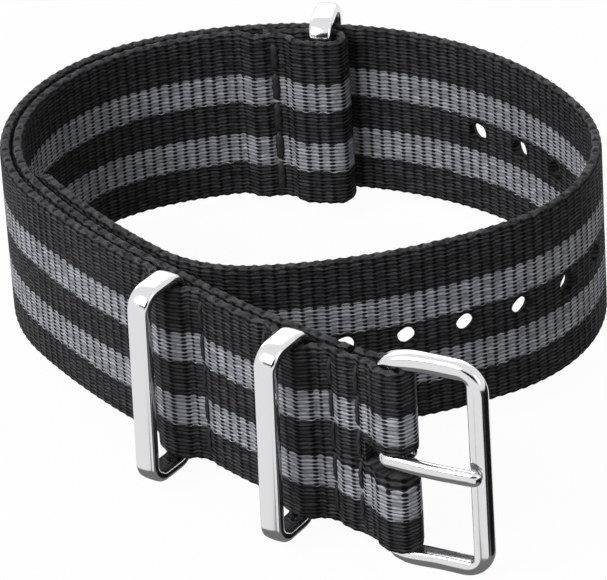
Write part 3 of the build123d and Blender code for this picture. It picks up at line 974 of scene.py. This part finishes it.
def frameStations():  # inner and outer edge of the upper half of the frame, from its heel to its middle
    window = tape["width"] / 2 + buckle["sideClearance"]
    top = window + buckle["armWidth"]
    heel = -buckle["heel"]
    barAt = buckle["reach"] - buckle["barWidth"]
    stations = []
    straightEnd = buckle["reach"] - buckle["cornerRadius"]
    least = buckle["heelShare"]
    thinnest = buckle["heelThinShare"]
    for i in range(buckle["heelSteps"] + 1):
        share = 1 - (1 - i / buckle["heelSteps"]) ** 2
        x = heel + (straightEnd - heel) * share
        gone = min(1.0, (x - heel) / buckle["heelTaper"])
        full = least + (1 - least) * math.sqrt(1 - (1 - gone) ** 2)
        innerX = heel + (barAt - buckle["windowRadius"] - heel) * share
        inner = Vector((innerX, 0, window))
        outer = Vector((x, 0, window + buckle["armWidth"] * full))
        stations.append((inner, outer, thinnest + (1 - thinnest) * full))
    for i in range(1, buckle["cornerSteps"] + 1):
        angle = math.radians(90 - 90 * i / buckle["cornerSteps"])
        way = Vector((math.cos(angle) - 1, 0, math.sin(angle) - 1))
        inner = Vector((barAt, 0, window)) + way * buckle["windowRadius"]
        outer = Vector((buckle["reach"], 0, top)) + way * buckle["cornerRadius"]
        stations.append((inner, outer, 1.0))
    for z in buckle["barStations"]:
        stations.append((Vector((barAt, 0, z)), Vector((buckle["reach"], 0, z)), 1.0))
    return stations


def buckleFrame(finish):
    upper = frameStations()
    flip = Vector((1, 1, -1))
    lower = [(inner * flip, outer * flip, thin) for inner, outer, thin in reversed(upper)]
    bm = bmesh.new()
    skin(bm, [frameSection(*station) for station in upper + lower])
    cutters = bmesh.new()
    depth = buckle["armHoleDepth"]
    for side in (1, -1):  # the blind holes that take the sprung bar's tips
        radius = buckle["armHole"] / 2
        made = bmesh.ops.create_cone(
            cutters, cap_ends=True, segments=24, radius1=radius, radius2=radius, depth=2 * depth
        )
        high = side * (tape["width"] / 2 + buckle["sideClearance"])
        bmesh.ops.translate(cutters, vec=(0, 0, high), verts=made["verts"])
    # the scoop in the far bar that the tongue's tip lies in
    reach = buckle["scoopRadius"]
    deep = buckle["scoopDepth"]
    radius = (reach**2 + deep**2) / (2 * deep)
    made = bmesh.ops.create_uvsphere(cutters, u_segments=48, v_segments=32, radius=radius)
    x = buckle["reach"] - buckle["scoopSetback"] - reach
    y = -buckle["thickness"] / 2 - buckle["dome"] + deep - radius
    bmesh.ops.translate(cutters, vec=(x, y, buckle["scoopRise"]), verts=made["verts"])
    bm = carved(bm, cutters)
    bmesh.ops.transform(bm, matrix=atPlace(bucklePlace, -buckleDrop), verts=bm.verts)
    newPiece("buckle_frame_steel", bm, finish, "buckle_frame", "buckle", 38)


tongue = {
    "width": 1.68, "thickness": 1.26, "slotWidth": 2.2, "offset": 1.43, "curlAngle": 240.0,
    "setback": 0.45, "bow": 0.22, "tipLength": 1.2, "tipSink": 0.12, "tipPower": 2.4,
    "tipLeast": 0.02, "tipBroad": 0.25, "startLength": 0.5, "startLeast": 0.05, "curlSteps": 30,
    "armSteps": 40, "armStepsInTip": 6, "tipSteps": 12, "sides": 28, "roundness": 0.9,
}


def tongueStops(curl, length):  # along the tongue, closer to each other in its tip
    stops = [curl * i / tongue["curlSteps"] for i in range(tongue["curlSteps"] + 1)]
    arm = [curl + length * i / tongue["armSteps"] for i in range(1, tongue["armSteps"] + 1)]
    shares = [1 - i / tongue["tipSteps"] for i in range(1, tongue["tipSteps"] + 1)]
    tip = [curl + length - tongue["tipLength"] * share**2 for share in shares]
    return stops + arm[: -tongue["armStepsInTip"]] + tip


def buckleTongue(finish):
    bm = bmesh.new()
    outlines = []
    length = buckle["reach"] - tongue["setback"]
    radius = tongue["offset"]
    curl = radius * math.radians(tongue["curlAngle"])
    for stop in tongueStops(curl, length):
        gone = (stop - curl) / length
        if stop < curl:
            angle = math.radians(270 - tongue["curlAngle"]) + stop / radius
            out = Vector((math.cos(angle), math.sin(angle), 0))
            spot = out * radius
        else:
            bow = math.sin(math.pi * min(1.0, gone)) * tongue["bow"]
            spot = Vector((stop - curl, -radius - bow, 0))
            slope = math.cos(math.pi * gone) * tongue["bow"] * math.pi / length
            out = Vector((-slope, -1, 0)).normalized()
        left = (curl + length - stop) / tongue["tipLength"]
        begun = stop / tongue["startLength"]
        full = math.sqrt(max(tongue["tipLeast"], 1 - max(0.0, 1 - left) ** tongue["tipPower"]))
        full *= math.sqrt(max(tongue["startLeast"], 1 - max(0.0, 1 - begun) ** 2))
        broad = tongue["tipBroad"] + (1 - tongue["tipBroad"]) * full if left < 1 else full
        wide = tongue["width"] / 2 * broad
        thick = tongue["thickness"] / 2 * full
        sunk = (1 - full) * tongue["tipSink"] if left < 1 else 0.0
        outline = []
        for j in range(tongue["sides"]):
            angle = 2 * math.pi * j / tongue["sides"]
            a = math.copysign(abs(math.cos(angle)) ** tongue["roundness"], math.cos(angle)) * wide
            b = math.copysign(abs(math.sin(angle)) ** tongue["roundness"], math.sin(angle)) * thick
            outline.append(spot + out * (b - sunk) + Vector((0, 0, a)))
        outlines.append(outline)
    skin(bm, outlines)
    bmesh.ops.transform(bm, matrix=atPlace(bucklePlace, -buckleDrop), verts=bm.verts)
    newPiece("buckle_tongue_steel", bm, finish, "buckle_tongue", "tongue", 60)


polishedSteel = steelFinish("polished steel", polished)
drawnSteel = steelFinish("drawn steel", drawn)
mainBand()
print("long band made")
shortBand()
print("short band made")
seams()
rings(polishedSteel)
print("seams and rings made")
buckleFrame(polishedSteel)
buckleTongue(polishedSteel)
print("buckle made")
for name in ("bar_tube", "bar_upper_plunger", "bar_lower_plunger", "bar_spring"):
    frame["nodes"][name].data.materials.clear()
    frame["nodes"][name].data.materials.append(drawnSteel)

# the studio
studio = {
    "frameWide": 607, "frameTall": 580, "focalPixels": 5538, "centreAcross": 300.0,
    "centreDown": 278.4, "distance": 580 * mm, "elevation": 30.0, "azimuth": -0.4,
    "roll": -3.75, "sensor": 36.0, "targetFromLoop": (7.73, -15.67), "ambient": 0.33,
    "floorWhite": 0.96, "floorSize": (6.0, 6.0), "floorTone": 0.62, "lampTarget": (0, 0, 0.012),
}
lamps = {
    "key": {"place": (-0.41, -0.31, 0.46), "size": (0.45, 0.35), "power": 5.4},
    "fill": {"place": (0.5, -0.3, 0.3), "size": (0.3, 0.3), "power": 0.3},
    "back": {"place": (0.0, 0.65, 0.40), "size": (1.0, 0.4), "power": 3.0},
}
cards = {
    "front card": {"place": (1.0, -0.8, -1.15), "size": (1.6, 2.1), "facing": (0, 1, 0), "tone": 0.08},
    "right card": {"place": (0.8, 0.05, -1.15), "size": (1.3, 2.1), "facing": (-1, 0, 0), "tone": 0.015},
    "camera card": {"place": (-0.05, -0.8, 0.4), "size": (0.9, 0.45), "facing": (0, 1, 0), "tone": 0.004},
    "left card": {
        "place": (-0.6, -0.53, 0.34),
        "size": (0.45, 0.18),
        "facing": (0.6, 0.53, -0.34),
        "tone": 0.004,
    },
    "low card": {"place": (0.0, 0.0, -0.5), "size": (1.2, 1.2), "facing": (0, 0, 1), "tone": 0.95},
}


def camera():
    e = math.radians(studio["elevation"])
    r = math.radians(studio["roll"])
    turned = Matrix.Rotation(math.radians(studio["azimuth"]), 3, "Z")
    forward = turned @ Vector((0, math.cos(e), -math.sin(e)))
    right = turned @ Vector((1, 0, 0))
    up = turned @ Vector((0, math.sin(e), math.cos(e)))
    across = right * math.cos(r) + up * math.sin(r)
    upward = up * math.cos(r) - right * math.sin(r)
    x, y = studio["targetFromLoop"]
    target = Vector((x * mm + loopX, y * mm + loopY, midHeight))
    data = bpy.data.cameras.new("camera")
    data.sensor_fit = "HORIZONTAL"
    data.sensor_width = studio["sensor"]
    data.lens = studio["focalPixels"] * studio["sensor"] / studio["frameWide"]
    data.shift_x = (studio["frameWide"] / 2 - studio["centreAcross"]) / studio["frameWide"]
    data.shift_y = (studio["centreDown"] - studio["frameTall"] / 2) / studio["frameWide"]
    data.clip_start = 0.01
    thing = bpy.data.objects.new("camera", data)
    bpy.context.collection.objects.link(thing)
    turn = Matrix((across, upward, -forward)).transposed().to_4x4()
    thing.matrix_world = Matrix.Translation(target - forward * studio["distance"]) @ turn
    bpy.context.scene.camera = thing


def lamp(name, place, size, power):
    data = bpy.data.lights.new(name, "AREA")
    data.shape = "RECTANGLE"
    data.size, data.size_y = size
    data.energy = power
    thing = bpy.data.objects.new(name, data)
    bpy.context.collection.objects.link(thing)
    away = Vector(place) - Vector(studio["lampTarget"])
    thing.matrix_world = Matrix.Translation(place) @ away.to_track_quat("Z", "Y").to_matrix().to_4x4()


def sheetOf(name, size, matrix, tone):  # a flat piece of the studio
    bm = bmesh.new()
    bmesh.ops.create_grid(bm, x_segments=1, y_segments=1, size=0.5)
    bmesh.ops.scale(bm, vec=(size[0], size[1], 1), verts=bm.verts)
    bmesh.ops.transform(bm, matrix=matrix, verts=bm.verts)
    mesh = bpy.data.meshes.new(name)
    bm.to_mesh(mesh)
    bm.free()
    finish = Finish(name)
    finish.set(Base_Color=(tone, tone, tone), Roughness=0.9, Specular_IOR_Level=0.1)
    mesh.materials.append(finish.material)
    thing = bpy.data.objects.new(name, mesh)
    bpy.context.collection.objects.link(thing)
    return thing


def card(name, place, size, facing, tone):  # only the metal mirrors it
    turn = Vector(facing).to_track_quat("Z", "Y").to_matrix().to_4x4()
    thing = sheetOf(name, size, Matrix.Translation(place) @ turn, tone)
    thing.visible_camera = False
    thing.visible_diffuse = False
    thing.visible_shadow = False
    thing.visible_transmission = False


def shownWhite(tree):  # 1 where the camera, the metal or glass sees the backdrop
    paths = tree.nodes.new("ShaderNodeLightPath")
    shown = Value(tree, paths.outputs["Is Camera Ray"])
    for name in ("Is Glossy Ray", "Is Transmission Ray"):
        shown = shown.maths("MAXIMUM", shown, Value(tree, paths.outputs[name]))
    return shown


def floor():
    thing = sheetOf("floor", studio["floorSize"], Matrix(), studio["floorTone"])
    tree = thing.data.materials[0].node_tree
    white = tree.nodes.new("ShaderNodeEmission")
    mixed = tree.nodes.new("ShaderNodeMixShader")
    tree.links.new((shownWhite(tree) * studio["floorWhite"]).socket, mixed.inputs[0])
    tree.links.new(tree.nodes["Principled BSDF"].outputs[0], mixed.inputs[1])
    tree.links.new(white.outputs[0], mixed.inputs[2])
    tree.links.new(mixed.outputs[0], tree.nodes["Material Output"].inputs["Surface"])
    thing.visible_glossy = False


def world():
    place = bpy.data.worlds.new("studio")
    place.use_nodes = True
    tree = place.node_tree
    background = tree.nodes["Background"]
    strength = studio["ambient"] + shownWhite(tree) * (1.0 - studio["ambient"])
    tree.links.new(strength.socket, background.inputs["Strength"])
    background.inputs["Color"].default_value = (1.0, 1.0, 1.0, 1.0)
    bpy.context.scene.world = place


camera()
for name, told in lamps.items():
    lamp(name, **told)
floor()
for name, told in cards.items():
    card(name, **told)
world()
bpy.context.scene.view_settings.view_transform = "Standard"

print("scene made")
